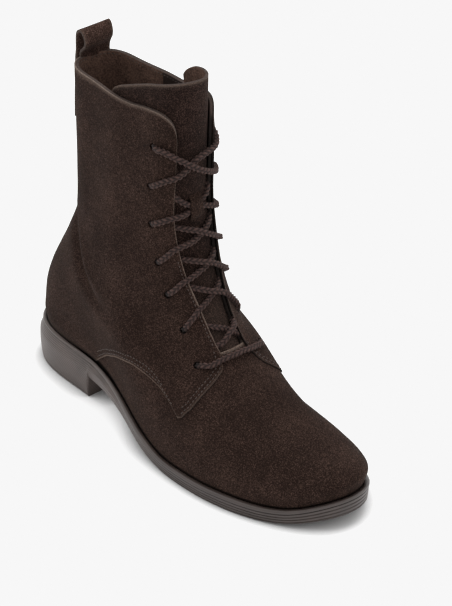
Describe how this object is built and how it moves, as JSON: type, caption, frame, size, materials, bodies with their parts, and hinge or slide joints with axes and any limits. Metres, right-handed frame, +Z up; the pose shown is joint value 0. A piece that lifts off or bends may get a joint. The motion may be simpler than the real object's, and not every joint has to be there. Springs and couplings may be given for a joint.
{
  "type": "suede boot",
  "caption": "Dark brown suede lace-up ankle boot for the right foot, with a wide tongue, round cord laces, a pull loop at the back and a low moulded rubber sole with a block heel.",
  "frame": {"origin": "on the floor, at the middle of the boot's length and width", "axes": "+X to the toe, +Y to the inner side of the foot, +Z up"},
  "size_m": [0.272, 0.0926, 0.2351],
  "materials": {
    "suede": "napped dark brown suede",
    "sole_rubber": "satin moulded rubber",
    "insole_lining": "warm brown lining leather",
    "lace_cord": "round braided cord"
  },
  "bodies": {
    "root": {"outsole": "sole_rubber", "insole": "insole_lining", "upper": "suede", "tongue": "suede", "pull_loop": "suede", "lace_bar": "lace_cord", "lace_cross_1": "lace_cord", "lace_cross_2": "lace_cord", "lace_cross_3": "lace_cord", "lace_cross_4": "lace_cord", "lace_cross_5": "lace_cord", "lace_cross_6": "lace_cord"}
  },
  "joints": []
}
